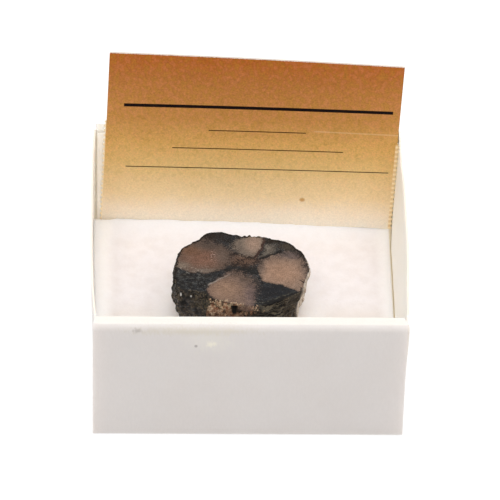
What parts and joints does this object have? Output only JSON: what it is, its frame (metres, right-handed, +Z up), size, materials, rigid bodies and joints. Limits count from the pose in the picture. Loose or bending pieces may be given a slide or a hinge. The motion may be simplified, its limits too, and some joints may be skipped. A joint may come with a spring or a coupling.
{
  "type": "chiastolite specimen in a card tray",
  "caption": "Cross-cut slice of chiastolite with a dark cross, resting on a soft white pad in an open folded card tray, with a loose tan label card leaning on the back rim.",
  "frame": {"origin": "centre of the flat underside of the tray, which rests on the table", "axes": "+Z up, out of the open tray; the tray's front faces -Y and the label card leans on its back wall at +Y; +X is to the right seen from the front"},
  "size_m": [0.0406, 0.0414, 0.0319],
  "materials": {
    "white_card": "matte",
    "white_foam": "matte",
    "tan_paper": "matte",
    "chiastolite_stone": "satin"
  },
  "bodies": {
    "root": {"tray": "white_card", "foam_pad": "white_foam", "label_card": "tan_paper", "chiastolite": "chiastolite_stone"}
  },
  "joints": []
}
